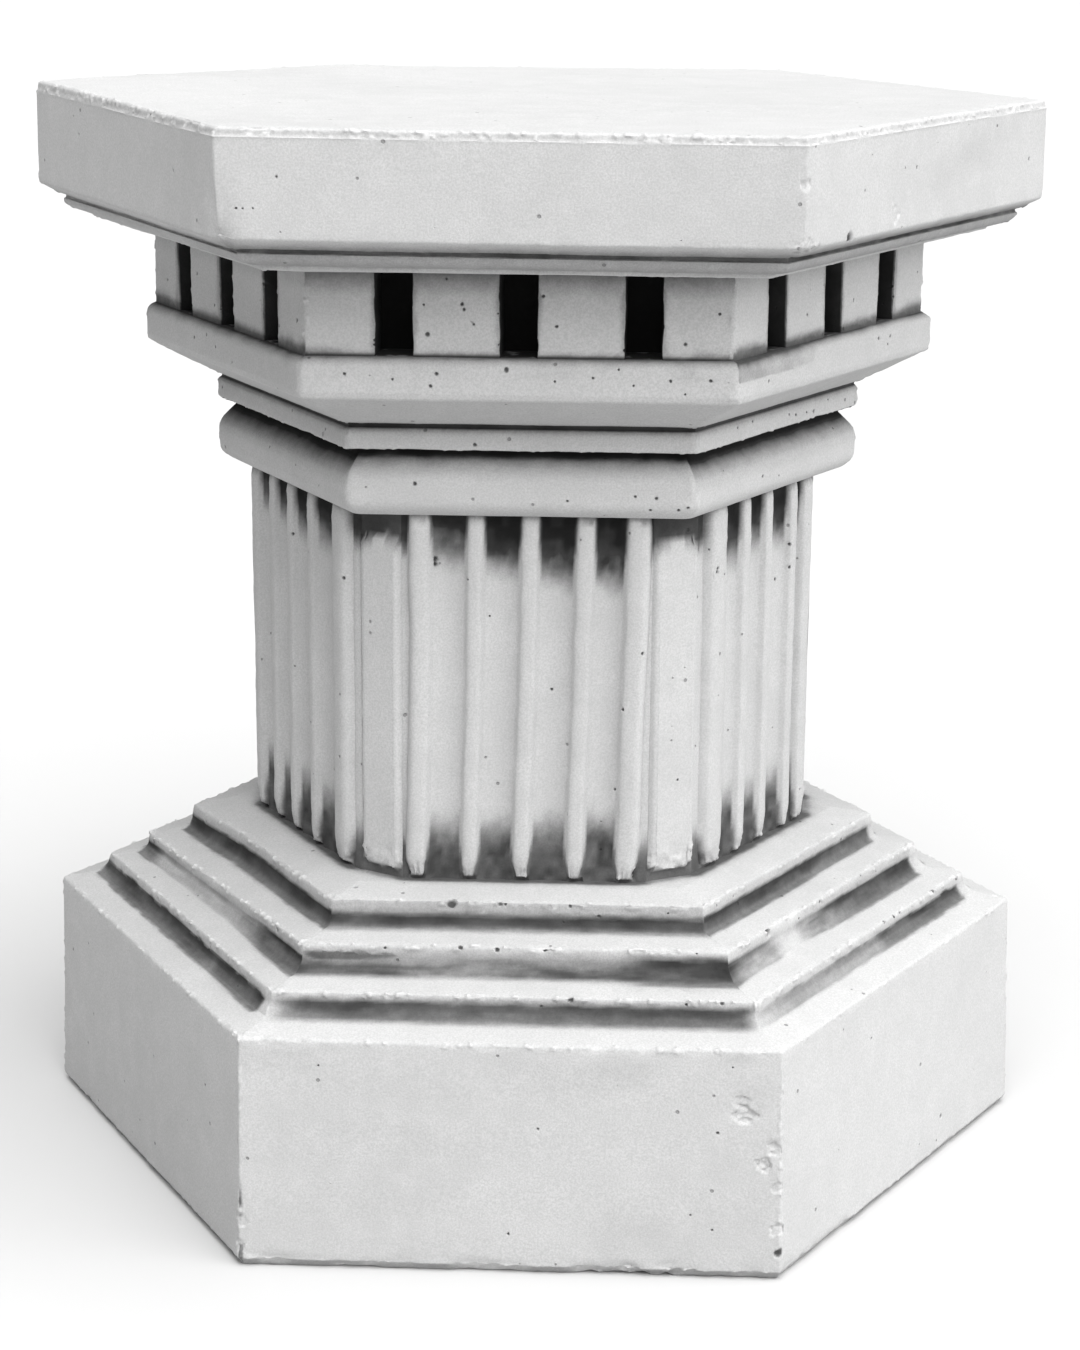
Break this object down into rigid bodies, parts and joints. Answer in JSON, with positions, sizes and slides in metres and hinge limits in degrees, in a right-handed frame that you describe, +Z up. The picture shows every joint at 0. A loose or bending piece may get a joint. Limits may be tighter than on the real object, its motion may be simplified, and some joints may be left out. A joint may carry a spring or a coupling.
{
  "type": "pedestal",
  "caption": "Six-sided cast pedestal with a stepped plinth, a fluted shaft, a dentil frieze and a flat top slab that carries a planter, urn or figure.",
  "frame": {"origin": "centre of the underside, on the ground", "axes": "+Z up; -Y out of the front face; two of the six corners lie on the X axis"},
  "size_m": [0.4358, 0.3774, 0.4538],
  "materials": {
    "concrete": "rough pale cast concrete with dark stain in the recesses"
  },
  "bodies": {
    "root": {"pedestal": "concrete"}
  },
  "joints": []
}
